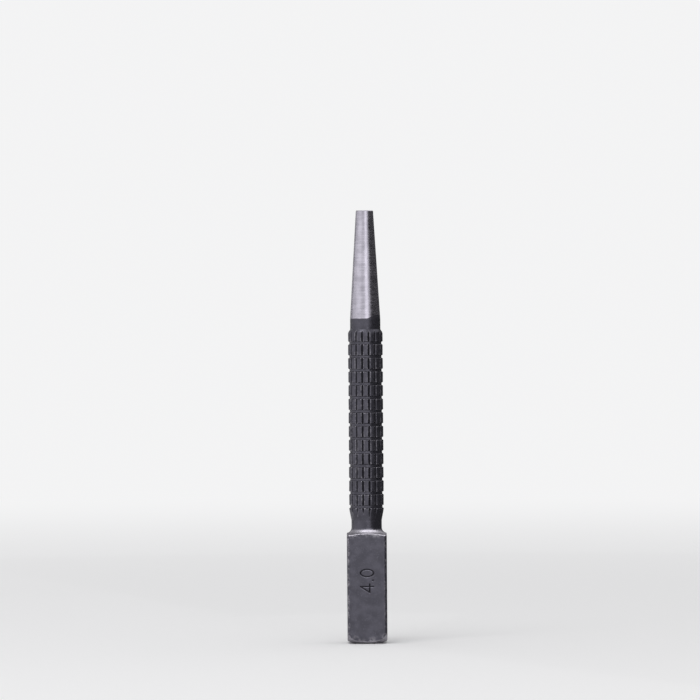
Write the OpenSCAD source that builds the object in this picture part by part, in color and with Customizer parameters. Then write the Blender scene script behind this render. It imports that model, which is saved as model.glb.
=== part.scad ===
// A solid steel nail setter: a square head to strike, a knurled round grip and a tapered tip with a
// cupped end. The striking face lies on z = 0, the tip points along +Z and a head flat faces -Y.

/* [Head] */
// Width of the square head across its flats
head_across_flats = 9.2; // [8:0.1:12]
// Length of the head, from the striking face to the top of its turned shoulder
head_length = 26.7; // [18:0.1:40]
// Width that each rounded long edge takes off a flat of the head
head_edge_break = 0.46; // [0.1:0.02:1.2]
// Diameter of the round striking face
striking_face_d = 7.2; // [5:0.1:8.8]
// Angle from the axis to the turned chamfer round the striking face
chamfer_angle = 66; // [40:1:80]
// Radius of the rounding from that chamfer into the long edges of the head
chamfer_round_r = 1.8; // [0.3:0.1:2.4]
// Angle from the axis to the turned shoulder below the neck
shoulder_angle = 75; // [40:1:80]
// Radius of the fillet where the shoulder runs into the neck
shoulder_fillet_r = 1.3; // [0.3:0.1:2]

/* [Shank] */
// Diameter of the plain shank at the neck, at the collar and at the root of the tip
shank_d = 7; // [6:0.1:7.6]
// Length of the plain neck between the head and the knurl
neck_length = 1.7; // [0.5:0.1:10]
// Length of the plain collar between the knurl and the tip
collar_length = 2.3; // [0.5:0.1:10]

/* [Knurl] */
// Diameter over the crests of the knurl
knurl_d = 8.1; // [7.8:0.1:10]
// Number of rows of pads along the grip
knurl_rows = 14; // [4:1:24]
// Distance from one row of pads to the next
row_pitch = 3.15; // [2:0.05:5]
// Number of long flutes round the grip
flute_count = 16; // [8:1:24]
// Width of a flute at the crest
flute_w = 0.55; // [0.2:0.05:0.9]
// Depth of a flute below the crest
flute_depth = 0.3; // [0.1:0.02:0.5]
// Width of a ring groove at the crest
ring_w = 0.85; // [0.4:0.05:1.4]
// How far each wall of a ring groove leans outwards
ring_wall_lean = 0.18; // [0.05:0.01:0.4]
// How much deeper the ring grooves are than the flutes
ring_extra_depth = 0.04; // [0.02:0.01:0.24]
// Length of the slope from the neck up to the crest
rear_runout = 2.8; // [0.5:0.1:3]
// Length of the slope from the crest down to the collar
front_runout = 0.8; // [0.3:0.1:3]

/* [Tip] */
// Diameter of the end of the tip, which is the tool's nominal size
tip_d = 4; // [3:0.1:6]
// Length of the tapered tip
tip_length = 25.2; // [15:0.1:40]
// Width of the small chamfer round the end of the tip
tip_edge_break = 0.15; // [0.05:0.01:0.3]
// Width of the flat rim between that chamfer and the cup
cup_rim_w = 0.5; // [0.2:0.05:0.6]
// Depth of the cup that keeps the tip on the head of a nail
cup_depth = 0.45; // [0.1:0.05:0.5]

/* [Hidden] */
$fn = 96;

// How far a cutting shape reaches past what it cuts
overrun = 1;

// Turn from +X to the front of the tool, at -Y, and the share of a turn between flutes by which the
// first flute is set off, so that the middle of a pad faces the front
front_turn = -90;
pad_middle_share = 0.5;

// Colours of the blackened steel and of the ground tip
black_finish = [0.14, 0.14, 0.15];
bare_steel = [0.74, 0.73, 0.77];

// Heights at which one stretch of the tool ends and the next begins
neck_z = head_length;
knurl_z = neck_z + neck_length;
knurl_length = knurl_rows * row_pitch;
collar_z = knurl_z + knurl_length;
tip_z = collar_z + collar_length;
end_z = tip_z + tip_length;

// Head: radii of its face, flats and rounded edges, and the heights of its turned slopes
shank_r = shank_d / 2;
face_r = striking_face_d / 2;
flat_r = head_across_flats / 2;
edge_r = norm([flat_r, flat_r - head_edge_break]);
chamfer_top_z = (edge_r - face_r) / tan(chamfer_angle);
chamfer_run = norm([edge_r - face_r, chamfer_top_z]);
// The rounding is never longer than the chamfer that it starts from
round_reach = min(chamfer_round_r * tan(chamfer_angle / 2), chamfer_run);
round_r = round_reach / tan(chamfer_angle / 2);
round_foot_r = edge_r - round_reach * sin(chamfer_angle);
round_foot_z = chamfer_top_z - round_reach * cos(chamfer_angle);
round_top_z = chamfer_top_z + round_reach;
fillet_reach = shoulder_fillet_r * tan(shoulder_angle / 2);
shoulder_top_z = head_length - fillet_reach;
fillet_foot_r = shank_r + fillet_reach * sin(shoulder_angle);
fillet_foot_z = shoulder_top_z - fillet_reach * cos(shoulder_angle);
shoulder_base_z = shoulder_top_z - (edge_r - shank_r) / tan(shoulder_angle);

// Knurl: radii of its crests and grooves, and the lean of the groove walls
crest_r = knurl_d / 2;
cutter_r = crest_r + overrun;
flute_root_r = crest_r - flute_depth;
flute_outer_w = flute_w * (flute_depth + overrun) / flute_depth;
ring_depth = flute_depth + ring_extra_depth;
ring_floor_r = crest_r - ring_depth;
ring_floor_w = ring_w - 2 * ring_wall_lean;
ring_outer_w = ring_w + 2 * ring_wall_lean * overrun / ring_depth;

// Tip: the cup is part of a ball that meets the end face at the cup's rim
tip_r = tip_d / 2;
tip_face_r = tip_r - tip_edge_break;
cup_r = tip_face_r - cup_rim_w;
cup_ball_r = (cup_r ^ 2 + cup_depth ^ 2) / (2 * cup_depth);

// Half section of the head as it is turned, before its flats are cut
module head_section() {
    difference() {
        union() {
            polygon([
                [0, 0],
                [face_r, 0],
                [round_foot_r, round_foot_z],
                [edge_r - round_r, round_top_z],
                [edge_r, round_top_z],
                [edge_r, shoulder_base_z],
                [fillet_foot_r, fillet_foot_z],
                [shank_r, head_length],
                [0, head_length]
            ]);
            translate([edge_r - round_r, round_top_z])
                circle(r = round_r);
        }
        translate([shank_r + shoulder_fillet_r, head_length])
            circle(r = shoulder_fillet_r);
    }
}

// Square striking head with a turned and rounded chamfer at one end and a turned shoulder at the other
module square_head() {
    color(black_finish)
        intersection() {
            rotate_extrude()
                head_section();
            translate([0, 0, -overrun])
                linear_extrude(head_length + 2 * overrun)
                    square(head_across_flats, center = true);
        }
}

// Plain turned neck behind the knurl
module neck() {
    color(black_finish)
        translate([0, 0, neck_z])
            cylinder(d = shank_d, h = neck_length);
}

// One straight V-shaped cutter for a flute along the whole knurl
module flute_cutter() {
    translate([0, 0, knurl_z - overrun])
        linear_extrude(knurl_length + 2 * overrun)
            polygon([
                [flute_root_r, 0],
                [cutter_r, -flute_outer_w / 2],
                [cutter_r, flute_outer_w / 2]
            ]);
}

// One ring-shaped cutter for the groove between two rows of pads
module ring_cutter() {
    rotate_extrude()
        polygon([
            [ring_floor_r, -ring_floor_w / 2],
            [cutter_r, -ring_outer_w / 2],
            [cutter_r, ring_outer_w / 2],
            [ring_floor_r, ring_floor_w / 2]
        ]);
}

// Grip whose crest is cut into pads by long flutes and ring grooves
module knurled_grip() {
    color(black_finish)
        difference() {
            rotate_extrude()
                polygon([
                    [0, knurl_z],
                    [shank_r, knurl_z],
                    [crest_r, knurl_z + rear_runout],
                    [crest_r, collar_z - front_runout],
                    [shank_r, collar_z],
                    [0, collar_z]
                ]);
            for (flute = [0 : flute_count - 1])
                rotate(front_turn + (flute + pad_middle_share) * 360 / flute_count)
                    flute_cutter();
            for (row = [1 : knurl_rows - 1])
                translate([0, 0, knurl_z + row * row_pitch])
                    ring_cutter();
        }
}

// Plain turned collar in front of the knurl
module front_collar() {
    color(black_finish)
        translate([0, 0, collar_z])
            cylinder(d = shank_d, h = collar_length);
}

// Bare ground tip with a cupped end
module tapered_tip() {
    color(bare_steel)
        difference() {
            rotate_extrude()
                polygon([
                    [0, tip_z],
                    [shank_r, tip_z],
                    [tip_r, end_z - tip_edge_break],
                    [tip_face_r, end_z],
                    [0, end_z]
                ]);
            translate([0, 0, end_z - cup_depth + cup_ball_r])
                sphere(r = cup_ball_r);
        }
}

square_head();
neck();
knurled_grip();
front_collar();
tapered_tip();
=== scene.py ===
"""Looks of a steel nail setter: a square black head, a knurled black grip and a bare ground tip.

All sizes are in metres. The striking face stands on z = 0, the tip points along +Z and the front is
at -Y.
"""
import math

import bpy
import numpy as np
from mathutils import Matrix, Vector


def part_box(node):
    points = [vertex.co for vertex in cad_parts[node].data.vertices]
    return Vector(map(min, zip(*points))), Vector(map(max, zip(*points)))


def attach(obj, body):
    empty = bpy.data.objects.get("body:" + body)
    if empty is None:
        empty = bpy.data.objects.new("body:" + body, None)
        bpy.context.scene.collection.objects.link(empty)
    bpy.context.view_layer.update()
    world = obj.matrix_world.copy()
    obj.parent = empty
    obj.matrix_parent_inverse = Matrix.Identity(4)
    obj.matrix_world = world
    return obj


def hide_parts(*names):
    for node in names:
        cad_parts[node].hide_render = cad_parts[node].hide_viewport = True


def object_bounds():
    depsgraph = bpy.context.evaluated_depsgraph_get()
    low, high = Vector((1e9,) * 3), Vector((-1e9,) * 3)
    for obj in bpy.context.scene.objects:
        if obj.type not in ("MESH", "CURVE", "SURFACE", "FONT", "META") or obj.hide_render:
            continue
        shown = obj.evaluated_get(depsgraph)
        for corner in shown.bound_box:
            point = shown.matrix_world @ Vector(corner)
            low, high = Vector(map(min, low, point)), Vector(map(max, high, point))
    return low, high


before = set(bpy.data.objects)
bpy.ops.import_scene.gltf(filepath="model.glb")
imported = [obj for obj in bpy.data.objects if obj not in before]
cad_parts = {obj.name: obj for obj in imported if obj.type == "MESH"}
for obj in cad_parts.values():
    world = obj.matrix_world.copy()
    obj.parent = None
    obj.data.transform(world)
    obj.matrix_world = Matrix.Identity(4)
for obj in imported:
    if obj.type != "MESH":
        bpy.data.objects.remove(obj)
cad_low, cad_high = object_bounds()

# Places and radii that the solids give
_, head_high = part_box("square_head")
neck_low, neck_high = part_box("neck")
grip_low, grip_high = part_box("knurled_grip")
collar_low, collar_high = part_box("front_collar")
tip_low, tip_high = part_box("tapered_tip")
FLAT_R = head_high.x
SHANK_R = neck_high.x
CREST_R = grip_high.x
TOOL_LENGTH = cad_high.z - cad_low.z
TOOL_MIDDLE = (cad_low + cad_high) / 2

MM_PER_METRE = 1000
QUARTER_TURN = math.pi / 2
FULL_TURN = 2 * math.pi

# Head: its flats, its turned face and slopes, and how far its edges are rounded
HEAD_SIDES = 4
FACE_R = 0.0036
CHAMFER_ANGLE = math.radians(66)
CHAMFER_ROUND_R = 0.0018
SHOULDER_ANGLE = math.radians(75)
SHOULDER_FILLET_R = 0.0013
SHOULDER_TOP_Z = head_high.z - SHOULDER_FILLET_R * math.tan(SHOULDER_ANGLE / 2)
LONG_EDGE_R = 0.00076
FLAT_EDGE_R = 0.00014
SHOULDER_CORNER_EDGE_R = 0.0002
CORNER_R = (FLAT_R - LONG_EDGE_R) * math.sqrt(2) + LONG_EDGE_R

# How worn a rubbed edge is, and one that nothing touches
WORN_SHARE = 1.0
UNWORN_SHARE = 0.0

# How far outside the neck and the face the head's turned slopes start to be burnished and painted
# lighter as a highlight, and are so fully
BURNISH_HIGHLIGHT_START = 0.00004
BURNISH_HIGHLIGHT_END = 0.00014

# Foot of the head: how its turned chamfer is rounded into the long edges
ROUND_REACH = CHAMFER_ROUND_R * math.tan(CHAMFER_ANGLE / 2)
ROUND_START_TURN = QUARTER_TURN - CHAMFER_ANGLE
ROUND_MIDDLE_R = CORNER_R - CHAMFER_ROUND_R
ROUND_MIDDLE_Z = (CORNER_R - FACE_R) / math.tan(CHAMFER_ANGLE) + ROUND_REACH
CHAMFER_LENGTH = (CORNER_R - FACE_R) / math.sin(CHAMFER_ANGLE) - ROUND_REACH

# Size mark pressed into the front flat, which reads from the head towards the tip
MARK_HEIGHT = 0.003
MARK_MIDDLE_Z = 0.0145
MARK_REACH = 0.0034
MARK_STROKE_W = 0.00046
MARK_DEPTH = 0.00015

# Shape of the mark's digits, in shares of their height
DIGIT_MIDDLE_SHARE = 0.5
MARK_MIDDLE_SHARE = 0.89
FOUR_SHARES = ((0.46, 0), (0.46, 1), (0, 0.3), (0.66, 0.3))
POINT_SHARES = ((0.92, 0.04), (0.96, 0.04))
NOUGHT_MIDDLE_SHARE = 1.5
NOUGHT_HALF_WIDTH_SHARE = 0.28
NOUGHT_STEPS = 24

# Knurl: its flutes, its ring grooves, its slopes down to the shank and how uneven its pads are
FLUTE_COUNT = 16
FLUTE_W = 0.00055
FLUTE_DEPTH = 0.0003
FLUTE_ROOT_R = 0.00006
KNURL_ROWS = 14
ROW_PITCH = (grip_high.z - grip_low.z) / KNURL_ROWS
RING_W = 0.00085
RING_WALL_LEAN = 0.00018
RING_DEPTH = 0.00034
REAR_RUNOUT = 0.0028
FRONT_RUNOUT = 0.0008
PAD_MIDDLE_SHARE = 0.5
PAD_EDGE_SOFTNESS = 0.00009
PAD_WEAR_REACH = 0.0002
PAD_DROP = 0.00003
PAD_TILT = 0.00004
PAD_SEED = 7

# Places across half a knurl pitch, from the middle of a groove to the middle of a pad
FLUTE_COLUMN_SHARES = (0, 0.06, 0.14, 0.24, 0.29, 0.33, 0.37, 0.42, 0.6, 1)
RING_ROW_SHARES = (0, 0.1, 0.15, 0.18, 0.22, 0.25, 0.27, 0.3, 0.36, 0.6, 1)

# Tip: the ground end with its narrow rim and its cup
TIP_R = 0.002
TIP_EDGE_BREAK = 0.00015
TIP_EDGE_R = 0.00005
CUP_RIM_W = 0.0005
CUP_DEPTH = 0.00045
TIP_FACE_R = TIP_R - TIP_EDGE_BREAK
CUP_R = TIP_FACE_R - CUP_RIM_W
CUP_BALL_R = (CUP_R ** 2 + CUP_DEPTH ** 2) / (2 * CUP_DEPTH)

# Feed marks that the lathe leaves on the neck and the collar
FEED_PITCH = 0.0002
FEED_DEPTH = 0.000003

# How finely each surface is divided
ARC_STEPS = 6
FILLET_STEPS = 8
LONG_EDGE_STEPS = 10
PLAIN_FLAT_STEPS = 28
MARKED_FLAT_STEPS = 88
FACE_STEPS = 8
FOOT_STEPS = 9
SLOPE_STEPS = 6
FLAT_END_STEPS = 8
MARK_STEPS = 96
LATHE_STEPS = 128
FEED_STEPS = 6
TAPER_STEPS = 48
RIM_STEPS = 4
CUP_STEPS = 10
SMOOTH_ANGLE = math.radians(40)

# Texture map of each piece: its name, and the margin in which the hidden ends lie as small discs
BAKE_MAP = "OFBake"
BAKE_MARGIN_SHARE = 0.04
CAP_DISC_SHARE = BAKE_MARGIN_SHARE / 3
CAP_MIDDLE_SHARE = BAKE_MARGIN_SHARE / 2

# Textures: how many grains come to the millimetre, how much finer detail they hold and how rough it is
USUAL_DETAIL = 4.0
USUAL_ROUGHNESS = 0.55
CLOUDS = dict(per_mm=0.5, detail=5.0)
SPECKS = dict(per_mm=4.2, detail=2.0)
SCUFFS = dict(per_mm=1.2, detail=8.0, roughness=0.7)
CHIPS = dict(per_mm=2.6, detail=2.0)
SHEENS = dict(per_mm=1.1, detail=3.0)
DENTS = dict(per_mm=1.3, detail=3.0)
DRAWN_LINES = dict(per_mm=1.0)
GRAINS = dict(per_mm=9.0, detail=3.0)
GROUND_LINES = dict(per_mm=1.0, detail=6.0, roughness=0.62)
CHATTER = dict(per_mm=1.0, detail=3.0)
PATCHES = dict(per_mm=0.55)
EDGE_WAVES = dict(per_mm=0.45)
DRAWN_STRETCH_SHARES = (4, 4, 0.12)
LINE_STRETCH_SHARES = (0.2, 0.2, 5)
CHATTER_STRETCH_SHARES = (0.8, 0.8, 2.4)
EDGE_STRETCH_SHARES = (1, 1, 0.15)

# Reliefs: how strongly each texture bends the light, and how deep it is
DENT_RELIEF = dict(strength=0.3, distance=0.00002)
DRAWN_RELIEF = dict(strength=0.4, distance=0.000006)
GRAIN_RELIEF = dict(strength=0.4, distance=0.000012)
CHATTER_RELIEF = dict(strength=0.4, distance=0.00003)
LINE_RELIEF = dict(strength=0.5, distance=0.000008)

# Sockets by which a mix node takes and gives colours
FIRST_COLOUR_INPUT = 6
SECOND_COLOUR_INPUT = 7
COLOUR_OUTPUT = 2

# Black finish: its colours, where its textures set in and how dull it is
# Painted shade: a darker colour laid into the knurl's flutes and the pressed size mark, where shade
# falls
GROOVE_PAINTED_SHADE = (0.019, 0.018, 0.024, 1)
BLACK_DEEP = (0.066, 0.064, 0.08, 1)
BLACK_MIDDLE = (0.089, 0.086, 0.107, 1)
BLACK_LIGHT = (0.133, 0.128, 0.158, 1)
WORN_BLACK = (0.265, 0.255, 0.285, 1)
# Burnished colour, which also paints the highlight on the head's turned shoulder and foot
BURNISHED_HIGHLIGHT = (0.312, 0.3, 0.335, 1)
CHIPPED = (0.515, 0.495, 0.545, 1)
BLACK_METALLIC = 0.8
CLOUD_RANGE = (0.35, 0.68)
SPECK_RANGE = (0.62, 0.72)
SPECK_SHARE = 0.7
SCUFF_RANGE = (0.47, 0.63)
CHIP_RANGE = (0.58, 0.64)
BURNISH_HIGHLIGHT_RANGE = (0.35, 0.6)
BURNISH_HIGHLIGHT_SHARES = (0.7, 1)
GROOVE_SHADE_RANGE = (0, 0.6)
SHEEN_RANGE = (0.3, 0.7)
BLACK_ROUGHNESS_RANGE = (0.3, 0.42)
TURNED_DULLNESS = -0.03
GROOVE_DULLNESS = 0.25
BURNISH_DULLNESS = 0.16
CHIP_DULLNESS = -0.1

# Ground steel: its colours, where its textures set in and how dull it is
STEEL_DARK = (0.385, 0.367, 0.424, 1)
STEEL_LIGHT = (0.555, 0.53, 0.606, 1)
TONE_RANGE = (0.74, 1.26)
LINE_RANGE = (0.3, 0.7)
STEEL_ROUGHNESS_RANGE = (0.2, 0.34)
FINISH_DULLNESS = 0.1

# Ragged end of the black finish on the tip's root, which rises towards one side
FINISH_END_MM = 0.05
FINISH_RAGGEDNESS_MM = 0.3
FINISH_BLUR_MM = 0.06
FINISH_RISE_MM = 0.9
FINISH_RISE_RANGE_MM = (0.3, 2.4)

# The photograph's frame, with the ends of the tool's axis in it
PHOTO_PIXELS = 700
TIP_PIXEL = (364.4, 210.6)
FACE_PIXEL = (367.5, 642.6)
LENS_MM = 200
SENSOR_MM = 36

# Floor and surround
PALE = (0.9, 0.9, 0.905, 1)
FLOOR_PALE = (0.96, 0.96, 0.965, 1)
FLOOR_ROUGHNESS = 0.9
FLOOR_SPECULAR = 0.1
FLOOR_R = 6.0
FLOOR_HOLE_SHARE = 0.95
FLOOR_GAP = 0.00002
FADE_START = 0.03
FADE_END = 0.9
AMBIENT = 0.7

# Coved cards that stand round the tool and that only its reflections show, with angles in degrees
CARD_GAP = 0.001
CARD_STEPS = 24
CARDS = {
    "side_card": dict(grey=0.06, start=43, end=165, inner_r=0.012, outer_r=0.4, height=0.3),
    "low_card": dict(grey=0.06, start=28, end=43, inner_r=0.012, outer_r=0.4, height=0.105),
    "back_card": dict(grey=0.06, start=165, end=200, inner_r=0.1, outer_r=0.4, height=0.9),
    "left_card": dict(grey=0.55, start=-160, end=-118, inner_r=0.2, outer_r=0.4, height=0.5),
}

# Soft lights, by the way they lie from the tool in degrees, their size and their power
LIGHTS = {
    "key": dict(azimuth=13, elevation=10, distance=1.0, width=0.45, height=1.2, watts=1.4),
    "left": dict(azimuth=-58, elevation=10, distance=1.2, width=1.0, height=1.2, watts=0.9),
    "top": dict(azimuth=-30, elevation=58, distance=0.95, width=0.5, height=0.4, watts=2.0),
}

# Broad light from above that only the head's gloss shows
SHEEN = dict(azimuth=25, elevation=60, distance=0.9, width=1.5, height=1.2, watts=16.0)


def even_shares(steps):
    """Shares of a straight stretch at which it is divided into equal steps"""
    return np.linspace(0, 1, steps + 1)[1:-1]


def rounded_corner(before, corner, after, radius, steps):
    """Points of the arc that rounds off one corner of a path"""
    arriving = (before - corner) / np.linalg.norm(before - corner)
    leaving = (after - corner) / np.linalg.norm(after - corner)
    half_angle = math.acos(np.dot(arriving, leaving)) / 2
    inwards = (arriving + leaving) / np.linalg.norm(arriving + leaving)
    centre = corner + inwards * radius / math.sin(half_angle)
    start = corner + arriving * radius / math.tan(half_angle) - centre
    end = corner + leaving * radius / math.tan(half_angle) - centre
    sweep = math.pi - 2 * half_angle
    shares = np.linspace(0, 1, steps + 1)[:, None]
    arc = start * np.sin((1 - shares) * sweep) + end * np.sin(shares * sweep)
    return centre + arc / math.sin(sweep)


def rounded_path(corners, roundings, stretches):
    """A path of radius and height through corners, with which of its points lie on a worn edge.

    roundings holds the radius, steps and wear of each inner corner, and stretches the shares at which
    each straight stretch is divided.
    """
    corners = [np.array(corner, float) for corner in corners]
    points = [corners[0]]
    wear = [UNWORN_SHARE]
    for index, (radius, steps, corner_wear) in enumerate(roundings):
        arc = rounded_corner(*corners[index:index + 3], radius, steps)
        stretch = [points[-1] + (arc[0] - points[-1]) * share for share in stretches[index]]
        points += stretch + list(arc)
        wear += [UNWORN_SHARE] * len(stretch) + [corner_wear] * len(arc)
    last = points[-1]
    stretch = [last + (corners[-1] - last) * share for share in stretches[-1]]
    points += stretch + [corners[-1]]
    wear += [UNWORN_SHARE] * (len(stretch) + 1)
    return np.array(points), np.array(wear)


def circle_directions(steps):
    """Unit directions round the axis, which start at the front and go towards +X"""
    angles = np.arange(steps) * FULL_TURN / steps
    return np.column_stack([np.sin(angles), -np.cos(angles)])


def turned_rings(path, steps=LATHE_STEPS):
    """Rings of points that turn a path of radius and height round the axis"""
    directions = circle_directions(steps)
    rings = np.empty((len(path), steps, 3))
    rings[:, :, :2] = path[:, None, :1] * directions[None, :, :]
    rings[:, :, 2] = path[:, None, 1]
    return rings


def bake_rows(rings):
    """How far up a texture each ring lies, by the mean distance from one ring to the next"""
    gaps = np.linalg.norm(np.diff(rings, axis=0), axis=2).mean(axis=1)
    travel = np.concatenate([[0], np.cumsum(gaps)])
    return BAKE_MARGIN_SHARE + (1 - 2 * BAKE_MARGIN_SHARE) * travel / travel[-1]


def cap_corners(columns, height):
    """Texture places of a hidden flat end, as a small disc in the margin"""
    angles = np.arange(columns) * FULL_TURN / columns
    across = CAP_MIDDLE_SHARE + CAP_DISC_SHARE * np.cos(angles)
    return list(zip(across, height + CAP_DISC_SHARE * np.sin(angles)))


def loft_faces(rings, start_pole, end_pole):
    """Faces through the rings and over both ends, with the texture place of each face corner"""
    rows, columns, _ = rings.shape
    heights = bake_rows(rings)
    start_index = rows * columns
    end_index = start_index + (start_pole is not None)
    faces = []
    corners = []
    for column in range(columns):
        after = (column + 1) % columns
        left = column / columns
        right = (column + 1) / columns
        middle = (left + right) / 2
        for row in range(rows - 1):
            low = row * columns
            high = low + columns
            faces.append((low + column, low + after, high + after, high + column))
            bottom = heights[row]
            top = heights[row + 1]
            corners += [(left, bottom), (right, bottom), (right, top), (left, top)]
        if start_pole is not None:
            faces.append((start_index, after, column))
            corners += [(middle, 0), (right, heights[0]), (left, heights[0])]
        if end_pole is not None:
            last = (rows - 1) * columns
            faces.append((last + column, last + after, end_index))
            corners += [(left, heights[-1]), (right, heights[-1]), (middle, 1)]
    if start_pole is None:
        faces.append(tuple(reversed(range(columns))))
        corners += cap_corners(columns, CAP_MIDDLE_SHARE)
    if end_pole is None:
        faces.append(tuple(range((rows - 1) * columns, rows * columns)))
        corners += cap_corners(columns, 1 - CAP_MIDDLE_SHARE)
    return faces, corners


def loft_piece(name, rings, material, node, marks=(), start_pole=None, end_pole=None):
    """A closed piece through rings of points, which stands for a solid and takes its finish slot.

    marks gives the named values that its material reads, with one number for each point of the rings.
    """
    poles = [pole for pole in (start_pole, end_pole) if pole is not None]
    points = rings.reshape(-1, 3).tolist() + [tuple(pole) for pole in poles]
    faces, corners = loft_faces(rings, start_pole, end_pole)
    mesh = bpy.data.meshes.new(name)
    mesh.from_pydata(points, [], faces)
    mesh.uv_layers.new(name=BAKE_MAP).data.foreach_set("uv", np.array(corners).ravel())
    for mark, values in marks:
        numbers = np.concatenate([np.ravel(values), np.zeros(len(poles))])
        mesh.attributes.new(mark, "FLOAT", "POINT").data.foreach_set("value", numbers)
    mesh.materials.append(material)
    mesh.shade_smooth()
    mesh.set_sharp_from_angle(angle=SMOOTH_ANGLE)
    piece = bpy.data.objects.new(name, mesh)
    bpy.context.scene.collection.objects.link(piece)
    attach(piece, "root")
    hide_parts(node)
    return piece


def near_share(first, second, reach):
    """How near two values are, from 0 where they lie a reach apart to 1 where they meet"""
    return np.clip(1 - np.abs(first - second) / reach, 0, 1)


def soft_min(first, second, softness):
    """The smaller of two values, blended where they are close"""
    blend = near_share(first, second, softness)
    return np.minimum(first, second) - blend ** 2 * softness / 4


# Head

def head_outline():
    """Points round the head's rounded square, with how far each lies round a worn long edge"""
    straight = FLAT_R - LONG_EDGE_R
    outline = []
    wear = []
    for side in range(HEAD_SIDES):
        steps = MARKED_FLAT_STEPS if side == 0 else PLAIN_FLAT_STEPS
        across = np.linspace(-straight, straight, steps + 1)
        turn = even_shares(LONG_EDGE_STEPS) * QUARTER_TURN
        right = np.concatenate([across, straight + LONG_EDGE_R * np.sin(turn)])
        out = np.concatenate([np.full(steps + 1, FLAT_R), straight + LONG_EDGE_R * np.cos(turn)])
        cos_side = math.cos(side * QUARTER_TURN)
        sin_side = math.sin(side * QUARTER_TURN)
        outline.append(np.column_stack([
            right * cos_side + out * sin_side,
            right * sin_side - out * cos_side,
        ]))
        wear.append(np.concatenate([np.zeros(steps + 1), np.sin(2 * turn)]))
    return np.concatenate(outline), np.concatenate(wear)


def foot_length(side_r):
    """Distance up the turned foot of the head, from the edge of its face to a radius"""
    turn = math.asin(min((side_r - ROUND_MIDDLE_R) / CHAMFER_ROUND_R, 1))
    if turn < ROUND_START_TURN:
        return (side_r - FACE_R) / math.sin(CHAMFER_ANGLE)
    return CHAMFER_LENGTH + (turn - ROUND_START_TURN) * CHAMFER_ROUND_R


def foot_point(length):
    """Radius and height at a distance up the turned foot, on its chamfer or on its rounding"""
    if length < CHAMFER_LENGTH:
        return FACE_R + length * math.sin(CHAMFER_ANGLE), length * math.cos(CHAMFER_ANGLE)
    turn = ROUND_START_TURN + (length - CHAMFER_LENGTH) / CHAMFER_ROUND_R
    return (
        ROUND_MIDDLE_R + CHAMFER_ROUND_R * math.sin(turn),
        ROUND_MIDDLE_Z - CHAMFER_ROUND_R * math.cos(turn),
    )


def flat_ends(side_r):
    """Heights at which a side of the head starts above its foot and ends below its shoulder"""
    _, start_z = foot_point(foot_length(side_r))
    end_z = SHOULDER_TOP_Z - (side_r - SHANK_R) / math.tan(SHOULDER_ANGLE)
    return start_z, end_z


def flat_row_shares():
    """Shares along a head flat at which it is divided, with close rows where the size mark lies"""
    start_z, end_z = flat_ends(FLAT_R)
    low = (MARK_MIDDLE_Z - MARK_REACH - start_z) / (end_z - start_z)
    high = (MARK_MIDDLE_Z + MARK_REACH - start_z) / (end_z - start_z)
    return np.concatenate([
        np.linspace(0, low, FLAT_END_STEPS + 1)[1:-1],
        np.linspace(low, high, MARK_STEPS + 1),
        np.linspace(high, 1, FLAT_END_STEPS + 1)[1:-1],
    ])


def head_path(side_r):
    """Radius and height from the middle of the striking face, up one side of the head, to the neck"""
    start_z, end_z = flat_ends(side_r)
    foot = [foot_point(share * foot_length(side_r)) for share in even_shares(FOOT_STEPS)]
    corners = [
        foot[-1],
        (side_r, start_z),
        (side_r, end_z),
        (SHANK_R, SHOULDER_TOP_Z),
        (SHANK_R, head_high.z),
    ]
    corner_share = (side_r - FLAT_R) / (CORNER_R - FLAT_R)
    shoulder_r = FLAT_EDGE_R + (SHOULDER_CORNER_EDGE_R - FLAT_EDGE_R) * corner_share
    edge = (FLAT_EDGE_R, ARC_STEPS, WORN_SHARE)
    shoulder_edge = (shoulder_r, ARC_STEPS, WORN_SHARE)
    fillet = (SHOULDER_FILLET_R, FILLET_STEPS, UNWORN_SHARE)
    face_corners = [(0, 0), (FACE_R, 0), foot[0]]
    face, face_wear = rounded_path(face_corners, [edge], [even_shares(FACE_STEPS), []])
    stretches = [[], flat_row_shares(), even_shares(SLOPE_STEPS), []]
    side, side_wear = rounded_path(corners, [edge, shoulder_edge, fillet], stretches)
    path = np.concatenate([face[1:], foot[1:-1], side[:-1]])
    return path, np.concatenate([face_wear[1:], np.zeros(len(foot) - 2), side_wear[:-1]])


def mark_strokes():
    """Strokes of the size mark 4.0 on a line of text that is one unit high"""
    turn = np.linspace(0, FULL_TURN, NOUGHT_STEPS + 1)
    nought = zip(
        NOUGHT_MIDDLE_SHARE + NOUGHT_HALF_WIDTH_SHARE * np.sin(turn),
        DIGIT_MIDDLE_SHARE * (1 + np.cos(turn)),
    )
    return [FOUR_SHARES, POINT_SHARES, tuple(nought)]


def mark_depth(across, up):
    """Depth of the size mark at places on the front flat, across it and up the axis"""
    along_line = (up - MARK_MIDDLE_Z) / MARK_HEIGHT + MARK_MIDDLE_SHARE
    over_line = DIGIT_MIDDLE_SHARE - across / MARK_HEIGHT
    places = np.stack([along_line, over_line], axis=-1)
    nearest = np.full(across.shape, np.inf)
    for stroke in mark_strokes():
        for start, end in zip(stroke[:-1], stroke[1:]):
            start = np.array(start)
            run = np.array(end) - start
            share = np.clip((places - start) @ run / (run @ run), 0, 1)
            gap = np.linalg.norm(places - start - share[..., None] * run, axis=-1)
            nearest = np.minimum(nearest, gap)
    slope = np.clip(1 - nearest * MARK_HEIGHT / (MARK_STROKE_W / 2), 0, 1)
    return MARK_DEPTH * slope * slope * (3 - 2 * slope)


def burnish_highlight_share(radii, heights):
    """How far the head's turned slopes are burnished and painted lighter as a highlight, from just
    outside the neck and the face
    """
    inner_r = np.where(heights > head_high.z / 2, SHANK_R, FACE_R)
    return np.clip((radii - inner_r - BURNISH_HIGHLIGHT_START) / (BURNISH_HIGHLIGHT_END - BURNISH_HIGHLIGHT_START), 0, 1)


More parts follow.
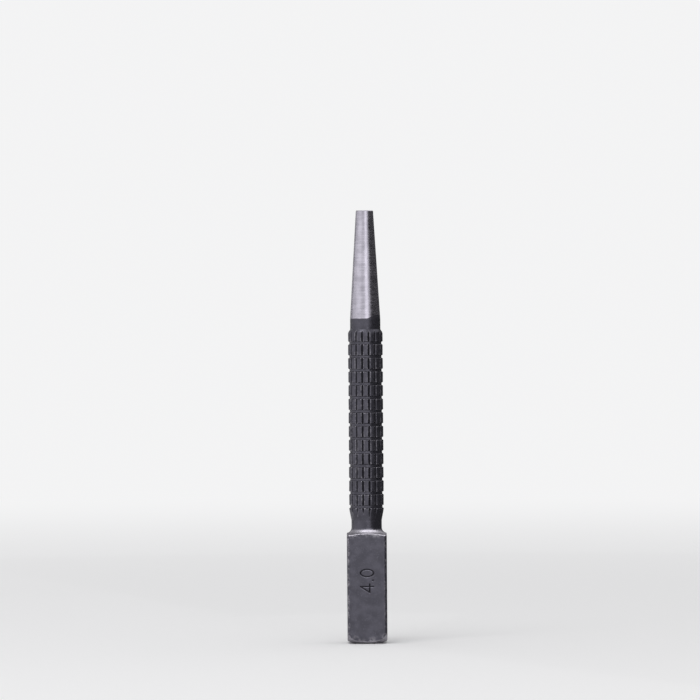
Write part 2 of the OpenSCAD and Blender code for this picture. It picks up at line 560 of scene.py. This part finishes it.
def make_head(material):
    """Square striking head with its turned face, its shoulder and its size mark"""
    outline, column_wear = head_outline()
    side_radii = np.linalg.norm(outline, axis=1)
    paths = [head_path(side_r) for side_r in side_radii]
    profile = np.array([path for path, _ in paths])
    row_wear = paths[0][1]
    rings = np.empty((profile.shape[1], len(outline), 3))
    rings[:, :, :2] = (profile[:, :, 0] / side_radii[:, None]).T[:, :, None] * outline[None, :, :]
    rings[:, :, 2] = profile[:, :, 1].T
    on_side = np.isclose(profile[:, :, 0], side_radii[:, None]).T
    wear = np.maximum(row_wear[:, None], column_wear[None, :] * on_side)
    on_front = on_side & np.isclose(outline[:, 1], -FLAT_R)[None, :]
    depth = mark_depth(rings[:, :, 0], rings[:, :, 2]) * on_front
    rings[:, :, 1] += depth
    turned = 1.0 - on_side
    burnish_highlight = burnish_highlight_share(profile[:, :, 0], profile[:, :, 1]).T * turned
    # The pressed mark's depth also sets painted shade in it; the turned slopes' burnish also paints a
    # highlight
    marks = [("wear", wear), ("recess_shade", depth / MARK_DEPTH), ("turned", turned), ("burnish_highlight", burnish_highlight)]
    middle = (0, 0, 0)
    return loft_piece("head", rings, material, "square_head", marks, start_pole=middle)


# Plain turned stretches

def feed_marked_path(low_z, high_z):
    """A straight turned stretch with the shallow rings that the lathe's feed leaves"""
    marks = max(1, round((high_z - low_z) / FEED_PITCH))
    heights = np.linspace(low_z, high_z, marks * FEED_STEPS + 1)
    waves = (1 - np.cos(FULL_TURN * np.linspace(0, marks, len(heights)))) / 2
    return np.column_stack([SHANK_R - FEED_DEPTH * waves, heights])


def make_band(name, low, high, material, node):
    """A short plain turned stretch of the shank"""
    rings = turned_rings(feed_marked_path(low.z, high.z))
    marks = [("turned", np.ones(rings.shape[:2]))]
    return loft_piece(name, rings, material, node, marks)


# Knurled grip

def cell_shares(half_shares):
    """Places across one whole pitch, from the middle of a groove to just before the next one"""
    rising = np.array(half_shares) / 2
    return np.concatenate([rising, 1 - rising[-2:0:-1]])


def pad_crests(turns, rises):
    """Radius of the pads' tops, each a little lower and tilted by its own amount"""
    random = np.random.default_rng(PAD_SEED)
    drops = random.random((KNURL_ROWS, FLUTE_COUNT)) * PAD_DROP
    turn_tilts, rise_tilts = random.uniform(-PAD_TILT, PAD_TILT, (2, KNURL_ROWS, FLUTE_COUNT))
    columns = turns.astype(int)
    rows = np.minimum(rises.astype(int), KNURL_ROWS - 1)
    across = (turns - columns - PAD_MIDDLE_SHARE)[None, :]
    along = (rises - rows - PAD_MIDDLE_SHARE)[:, None]
    tilt = turn_tilts[rows][:, columns] * across + rise_tilts[rows][:, columns] * along
    return CREST_R - PAD_TILT - drops[rows][:, columns] + tilt


def runout_slopes(rises):
    """Radius of the slopes from the crest down to the shank, at places up the grip"""
    heights = rises * ROW_PITCH
    rear = SHANK_R + heights * (CREST_R - SHANK_R) / REAR_RUNOUT
    front = SHANK_R + (KNURL_ROWS * ROW_PITCH - heights) * (CREST_R - SHANK_R) / FRONT_RUNOUT
    return np.minimum(rear, front)[:, None]


def flute_walls(turns):
    """Radius of the walls of the long flutes, at places round the grip"""
    off_flute = np.abs(turns - np.round(turns)) * FULL_TURN / FLUTE_COUNT * CREST_R
    slope = FLUTE_DEPTH / (FLUTE_W / 2)
    rise = slope * (np.hypot(off_flute, FLUTE_ROOT_R) - FLUTE_ROOT_R)
    return (CREST_R - FLUTE_DEPTH + rise)[None, :]


def ring_walls(rises):
    """Radius of the walls of the ring grooves, at places up the grip"""
    nearest_ring = np.clip(np.round(rises), 1, KNURL_ROWS - 1)
    off_floor = np.abs(rises - nearest_ring) * ROW_PITCH - (RING_W / 2 - RING_WALL_LEAN)
    rise = np.maximum(off_floor, 0) * RING_DEPTH / RING_WALL_LEAN
    return (CREST_R - RING_DEPTH + rise)[:, None]


def knurl_radius(turns, rises):
    """Radius of the grip at places round it and up it, counted in flutes and in rows of pads.

    It also gives how worn each place is, most at the corners of a pad, and how deep it lies in a flute,
    where the finish paints shade.
    """
    flutes = flute_walls(turns)
    rings = ring_walls(rises)
    body = soft_min(pad_crests(turns, rises), runout_slopes(rises), PAD_EDGE_SOFTNESS)
    fluted = soft_min(body, flutes, PAD_EDGE_SOFTNESS)
    radius = soft_min(fluted, rings, PAD_EDGE_SOFTNESS)
    sunk = np.clip((body - radius) / FLUTE_DEPTH, 0, 1)
    edges = near_share(body, flutes, PAD_WEAR_REACH) + near_share(fluted, rings, PAD_WEAR_REACH)
    return radius, edges * (1 - sunk) ** 2, sunk * (fluted < rings)


def make_grip(material):
    """Grip with rows of pads between long flutes and ring grooves"""
    turns = (np.arange(FLUTE_COUNT)[:, None] + cell_shares(FLUTE_COLUMN_SHARES)).ravel()
    rises = (np.arange(KNURL_ROWS)[:, None] + cell_shares(RING_ROW_SHARES)).ravel()
    rises = np.append(rises, KNURL_ROWS)
    radius, wear, recess_shade = knurl_radius(turns, rises)
    angles = (turns + PAD_MIDDLE_SHARE) * FULL_TURN / FLUTE_COUNT
    rings = np.empty(radius.shape + (3,))
    rings[:, :, 0] = radius * np.sin(angles)
    rings[:, :, 1] = -radius * np.cos(angles)
    rings[:, :, 2] = (grip_low.z + rises * ROW_PITCH)[:, None]
    # How deep each place lies in a flute goes on to the finish as painted shade
    marks = [("wear", wear), ("recess_shade", recess_shade), ("turned", np.ones(radius.shape))]
    return loft_piece("grip", rings, material, "knurled_grip", marks)


# Tip

def cup_path():
    """Radius and height from just inside the cup's rim to just outside its lowest point"""
    slopes = np.linspace(math.asin(CUP_R / CUP_BALL_R), 0, CUP_STEPS + 1)[1:-1]
    heights = tip_high.z - CUP_DEPTH + CUP_BALL_R * (1 - np.cos(slopes))
    return np.column_stack([CUP_BALL_R * np.sin(slopes), heights])


def make_tip(material):
    """Tapered ground tip with a narrow rim round its cup"""
    corners = [
        (SHANK_R, tip_low.z),
        (TIP_R, tip_high.z - TIP_EDGE_BREAK),
        (TIP_FACE_R, tip_high.z),
        (CUP_R, tip_high.z),
    ]
    edge = (TIP_EDGE_R, ARC_STEPS, WORN_SHARE)
    stretches = [even_shares(TAPER_STEPS), even_shares(RIM_STEPS), even_shares(RIM_STEPS)]
    path, _ = rounded_path(corners, [edge, edge], stretches)
    rings = turned_rings(np.concatenate([path, cup_path()]))
    bottom = (0, 0, tip_high.z - CUP_DEPTH)
    return loft_piece("tip", rings, material, "tapered_tip", end_pole=bottom)


# Nodes that the materials share

def add_node(tree, kind, **settings):
    """A new shader node with its settings"""
    node = tree.nodes.new(kind)
    for name, value in settings.items():
        setattr(node, name, value)
    return node


def feed(tree, socket, value):
    """Gives an input either a link from another node or a constant"""
    if isinstance(value, bpy.types.NodeSocket):
        tree.links.new(value, socket)
    else:
        socket.default_value = value


def millimetres(tree, stretch_shares=(1, 1, 1)):
    """Places on the object in millimetres, in which a texture's scale counts its grains"""
    place = add_node(tree, "ShaderNodeTexCoord")
    mapping = add_node(tree, "ShaderNodeMapping")
    mapping.inputs["Scale"].default_value = [MM_PER_METRE * share for share in stretch_shares]
    feed(tree, mapping.inputs["Vector"], place.outputs["Object"])
    return mapping.outputs["Vector"]


def noise(tree, places, per_mm, detail=USUAL_DETAIL, roughness=USUAL_ROUGHNESS):
    """A noise with so many grains to the millimetre"""
    node = add_node(tree, "ShaderNodeTexNoise")
    feed(tree, node.inputs["Vector"], places)
    feed(tree, node.inputs["Scale"], per_mm)
    feed(tree, node.inputs["Detail"], detail)
    feed(tree, node.inputs["Roughness"], roughness)
    return node.outputs[0]


def spread(tree, value, low, high, to_low, to_high):
    """Maps a value from one range to another, held at both ends"""
    node = add_node(tree, "ShaderNodeMapRange", interpolation_type="SMOOTHSTEP")
    for socket, number in zip(node.inputs, (value, low, high, to_low, to_high)):
        feed(tree, socket, number)
    return node.outputs[0]


def combine(tree, operation, first, second):
    """A sum, product or other operation on two values"""
    node = add_node(tree, "ShaderNodeMath", operation=operation)
    feed(tree, node.inputs[0], first)
    feed(tree, node.inputs[1], second)
    return node.outputs[0]


def mix_colours(tree, factor, first, second):
    """A colour that goes from the first to the second as the factor rises"""
    node = add_node(tree, "ShaderNodeMix", data_type="RGBA")
    feed(tree, node.inputs["Factor"], factor)
    feed(tree, node.inputs[FIRST_COLOUR_INPUT], first)
    feed(tree, node.inputs[SECOND_COLOUR_INPUT], second)
    return node.outputs[COLOUR_OUTPUT]


def carried_value(tree, name):
    """A value that the mesh carries at its points"""
    return add_node(tree, "ShaderNodeAttribute", attribute_name=name).outputs["Fac"]


def bump(tree, height, strength, distance, under=None):
    """A surface normal that follows a height, laid over another one if given"""
    node = add_node(tree, "ShaderNodeBump")
    feed(tree, node.inputs["Strength"], strength)
    feed(tree, node.inputs["Distance"], distance)
    feed(tree, node.inputs["Height"], height)
    if under is not None:
        feed(tree, node.inputs["Normal"], under)
    return node.outputs["Normal"]


def new_material(name):
    """A material with its node tree and its main shader"""
    material = bpy.data.materials.new(name)
    material.use_nodes = True
    return material, material.node_tree, material.node_tree.nodes["Principled BSDF"]


# Finishes

def black_colour(tree, places):
    """Colour of the black finish, mottled and lighter in small specks"""
    clouds = spread(tree, noise(tree, places, **CLOUDS), *CLOUD_RANGE, 0, 1)
    specks = spread(tree, noise(tree, places, **SPECKS), *SPECK_RANGE, 0, SPECK_SHARE)
    mottled = mix_colours(tree, clouds, BLACK_DEEP, BLACK_MIDDLE)
    return mix_colours(tree, specks, mottled, BLACK_LIGHT)


def black_relief(tree, places):
    """Surface of the black finish, with a fine grain over shallow dents and lines along the bar"""
    stretched = millimetres(tree, DRAWN_STRETCH_SHARES)
    dents = bump(tree, noise(tree, places, **DENTS), **DENT_RELIEF)
    drawn = bump(tree, noise(tree, stretched, **DRAWN_LINES), **DRAWN_RELIEF, under=dents)
    return bump(tree, noise(tree, places, **GRAINS), **GRAIN_RELIEF, under=drawn)


def make_black_finish():
    """Satin black finish on steel, worn and chipped at its edges, with painted shade in its grooves and
    a burnish that also paints a highlight on its turned slopes
    """
    material, tree, shader = new_material("satin_black")
    places = millimetres(tree)
    wear = carried_value(tree, "wear")
    patches = noise(tree, places, **SCUFFS)
    scuffs = combine(tree, "MULTIPLY", wear, spread(tree, patches, *SCUFF_RANGE, 0, 1))
    # Burnished turned slopes, mottled; their lighter colour also paints the shoulder's highlight
    burnish_highlight_mottle = spread(tree, patches, *BURNISH_HIGHLIGHT_RANGE, *BURNISH_HIGHLIGHT_SHARES)
    burnish_highlight = combine(tree, "MULTIPLY", carried_value(tree, "burnish_highlight"), burnish_highlight_mottle)
    speckled_wear = combine(tree, "MULTIPLY", wear, noise(tree, places, **CHIPS))
    chips = spread(tree, speckled_wear, *CHIP_RANGE, 0, 1)
    # Painted shade: the flutes and the pressed mark are darkened where shade falls
    groove = spread(tree, carried_value(tree, "recess_shade"), *GROOVE_SHADE_RANGE, 0, 1)
    turned = carried_value(tree, "turned")
    colour = black_colour(tree, places)
    tints = [(groove, GROOVE_PAINTED_SHADE), (burnish_highlight, BURNISHED_HIGHLIGHT), (scuffs, WORN_BLACK), (chips, CHIPPED)]
    for where, tint in tints:
        colour = mix_colours(tree, where, colour, tint)
    feed(tree, shader.inputs["Base Color"], colour)
    roughness = spread(tree, noise(tree, places, **SHEENS), *SHEEN_RANGE, *BLACK_ROUGHNESS_RANGE)
    changes = [
        (turned, TURNED_DULLNESS),
        (groove, GROOVE_DULLNESS),
        (burnish_highlight, BURNISH_DULLNESS),
        (chips, CHIP_DULLNESS),
    ]
    for where, dullness in changes:
        roughness = combine(tree, "ADD", roughness, combine(tree, "MULTIPLY", where, dullness))
    feed(tree, shader.inputs["Roughness"], roughness)
    feed(tree, shader.inputs["Normal"], black_relief(tree, places))
    shader.inputs["Metallic"].default_value = BLACK_METALLIC
    return material


def finish_share(tree, places):
    """1 where the black finish runs onto the tip's root, up to a ragged edge that rises to one side"""
    axes = add_node(tree, "ShaderNodeSeparateXYZ")
    feed(tree, axes.inputs[0], places)
    waves = noise(tree, millimetres(tree, EDGE_STRETCH_SHARES), **EDGE_WAVES)
    ragged = combine(tree, "MULTIPLY", waves, FINISH_RAGGEDNESS_MM)
    rise = spread(tree, axes.outputs["X"], *FINISH_RISE_RANGE_MM, 0, FINISH_RISE_MM)
    edge = combine(tree, "ADD", ragged, rise)
    above = combine(tree, "SUBTRACT", axes.outputs["Z"], edge)
    end = tip_low.z * MM_PER_METRE + FINISH_END_MM
    return spread(tree, above, end - FINISH_BLUR_MM, end + FINISH_BLUR_MM, 1, 0)


def make_ground_steel():
    """Bare steel with grinding lines round it, and the ragged end of the black finish at its root"""
    material, tree, shader = new_material("ground_steel")
    places = millimetres(tree)
    lines = noise(tree, millimetres(tree, LINE_STRETCH_SHARES), **GROUND_LINES)
    chatter = noise(tree, millimetres(tree, CHATTER_STRETCH_SHARES), **CHATTER)
    tone = combine(tree, "ADD", lines, noise(tree, places, **PATCHES))
    bare = mix_colours(tree, spread(tree, tone, *TONE_RANGE, 0, 1), STEEL_DARK, STEEL_LIGHT)
    black = finish_share(tree, places)
    feed(tree, shader.inputs["Base Color"], mix_colours(tree, black, bare, black_colour(tree, places)))
    feed(tree, shader.inputs["Metallic"], spread(tree, black, 0, 1, 1, BLACK_METALLIC))
    ground = spread(tree, lines, *LINE_RANGE, *STEEL_ROUGHNESS_RANGE)
    dullness = combine(tree, "MULTIPLY", black, FINISH_DULLNESS)
    feed(tree, shader.inputs["Roughness"], combine(tree, "ADD", ground, dullness))
    waves = bump(tree, chatter, **CHATTER_RELIEF)
    feed(tree, shader.inputs["Normal"], bump(tree, lines, **LINE_RELIEF, under=waves))
    return material


# Floor, light and camera

def seen_directly(tree):
    """1 for what the camera sees, also in a mirror or through glass, and 0 for light on things"""
    path = add_node(tree, "ShaderNodeLightPath")
    camera = path.outputs["Is Camera Ray"]
    glossy = path.outputs["Is Glossy Ray"]
    through = path.outputs["Is Transmission Ray"]
    return combine(tree, "MAXIMUM", camera, combine(tree, "MAXIMUM", glossy, through))


def make_world():
    """A pale surround that lights the tool softly"""
    world = bpy.data.worlds.new("studio")
    bpy.context.scene.world = world
    world.use_nodes = True
    tree = world.node_tree
    background = tree.nodes["Background"]
    background.inputs["Color"].default_value = PALE
    strength = spread(tree, seen_directly(tree), 0, 1, AMBIENT, 1)
    feed(tree, background.inputs["Strength"], strength)


def floor_material():
    """Pale floor that keeps the tool's shadow near it and fades into the surround"""
    material, tree, shader = new_material("pale_floor")
    shader.inputs["Base Color"].default_value = FLOOR_PALE
    shader.inputs["Roughness"].default_value = FLOOR_ROUGHNESS
    shader.inputs["Specular IOR Level"].default_value = FLOOR_SPECULAR
    geometry = add_node(tree, "ShaderNodeNewGeometry")
    distance = add_node(tree, "ShaderNodeVectorMath", operation="LENGTH")
    feed(tree, distance.inputs[0], geometry.outputs["Position"])
    far = spread(tree, distance.outputs["Value"], FADE_START, FADE_END, 0, 1)
    glow = add_node(tree, "ShaderNodeEmission")
    glow.inputs["Color"].default_value = PALE
    faded = add_node(tree, "ShaderNodeMixShader")
    feed(tree, faded.inputs[0], combine(tree, "MULTIPLY", far, seen_directly(tree)))
    feed(tree, faded.inputs[1], shader.outputs[0])
    feed(tree, faded.inputs[2], glow.outputs[0])
    clear = add_node(tree, "ShaderNodeBsdfTransparent")
    sided = add_node(tree, "ShaderNodeMixShader")
    feed(tree, sided.inputs[0], geometry.outputs["Backfacing"])
    feed(tree, sided.inputs[1], faded.outputs[0])
    feed(tree, sided.inputs[2], clear.outputs[0])
    feed(tree, tree.nodes["Material Output"].inputs["Surface"], sided.outputs[0])
    return material


def stage_object(name, points, faces, material):
    """A plain mesh that belongs to the studio and not to the tool"""
    mesh = bpy.data.meshes.new(name)
    mesh.from_pydata(points, [], faces)
    mesh.materials.append(material)
    thing = bpy.data.objects.new(name, mesh)
    bpy.context.scene.collection.objects.link(thing)
    return thing


def make_floor():
    """A wide floor just under the striking face, open under the face so that light reaches it"""
    height = cad_low.z - FLOOR_GAP
    rings = turned_rings(np.array([(FACE_R * FLOOR_HOLE_SHARE, height), (FLOOR_R, height)]))
    faces = []
    for column in range(LATHE_STEPS):
        after = (column + 1) % LATHE_STEPS
        faces.append((column, LATHE_STEPS + column, LATHE_STEPS + after, after))
    stage_object("floor", rings.reshape(-1, 3).tolist(), faces, floor_material())


def direction_from(azimuth, elevation):
    """Unit direction from the tool, with azimuth 0 at the front and positive towards +X"""
    turn = math.radians(azimuth)
    rise = math.radians(elevation)
    return Vector((math.sin(turn) * math.cos(rise), -math.cos(turn) * math.cos(rise), math.sin(rise)))


def make_card(name, grey, start, end, inner_r, outer_r, height):
    """A card that lies on the floor and turns up round the tool, and that only its reflections show"""
    material, _, shader = new_material(name)
    shader.inputs["Base Color"].default_value = (grey, grey, grey, 1)
    foot = cad_low.z + CARD_GAP
    section = [(inner_r, foot), (outer_r, foot), (outer_r, height)]
    points = []
    for azimuth in np.linspace(start, end, CARD_STEPS + 1):
        way = direction_from(azimuth, 0)
        points += [way * radius + Vector((0, 0, z)) for radius, z in section]
    columns = len(section)
    faces = []
    for step in range(CARD_STEPS):
        for column in range(columns - 1):
            first = step * columns + column
            faces.append((first, first + 1, first + columns + 1, first + columns))
    card = stage_object(name, points, faces, material)
    card.visible_camera = False
    card.visible_diffuse = False
    card.visible_shadow = False


def make_softbox(name, azimuth, elevation, distance, width, height, watts, gloss_on=None):
    """A soft light that faces the middle of the tool, and may show only in one piece's gloss"""
    light = bpy.data.lights.new(name, "AREA")
    light.shape = "RECTANGLE"
    light.size = width
    light.size_y = height
    light.energy = watts
    lamp = bpy.data.objects.new(name, light)
    bpy.context.scene.collection.objects.link(lamp)
    way = direction_from(azimuth, elevation)
    lamp.location = TOOL_MIDDLE + way * distance
    lamp.rotation_euler = (-way).to_track_quat("-Z", "Y").to_euler()
    lamp.visible_camera = False
    if gloss_on is not None:
        lamp.visible_diffuse = False
        lamp.light_linking.receiver_collection = bpy.data.collections.new(name)
        lamp.light_linking.receiver_collection.objects.link(gloss_on)


def make_camera():
    """A camera that sees the tool where the photograph has it"""
    scene = bpy.context.scene
    tip_pixel = Vector(TIP_PIXEL)
    face_pixel = Vector(FACE_PIXEL)
    down_the_tool = face_pixel - tip_pixel
    metres_per_pixel = TOOL_LENGTH / down_the_tool.length
    lean = math.atan2(down_the_tool.x, down_the_tool.y)
    photo_middle = Vector((PHOTO_PIXELS, PHOTO_PIXELS)) / 2
    off_centre = ((tip_pixel + face_pixel) / 2 - photo_middle) * metres_per_pixel
    distance = metres_per_pixel * PHOTO_PIXELS * LENS_MM / SENSOR_MM
    turn = Matrix.Rotation(QUARTER_TURN, 4, "X") @ Matrix.Rotation(-lean, 4, "Z")
    seen_at = Vector((off_centre.x, -off_centre.y, -distance))
    lens = bpy.data.cameras.new("camera")
    lens.lens = LENS_MM
    lens.sensor_width = SENSOR_MM
    camera = bpy.data.objects.new("camera", lens)
    scene.collection.objects.link(camera)
    camera.matrix_world = Matrix.Translation(TOOL_MIDDLE - turn.to_3x3() @ seen_at) @ turn
    scene.camera = camera


black_finish = make_black_finish()
ground_steel = make_ground_steel()
head = make_head(black_finish)
make_band("neck_band", neck_low, neck_high, black_finish, "neck")
make_grip(black_finish)
make_band("collar_band", collar_low, collar_high, black_finish, "front_collar")
make_tip(ground_steel)

make_world()
make_floor()
for card_name, card_settings in CARDS.items():
    make_card(card_name, **card_settings)
for light_name, light_settings in LIGHTS.items():
    make_softbox(light_name, **light_settings)
make_softbox("sheen", **SHEEN, gloss_on=head)
make_camera()
bpy.context.scene.view_settings.view_transform = "Standard"
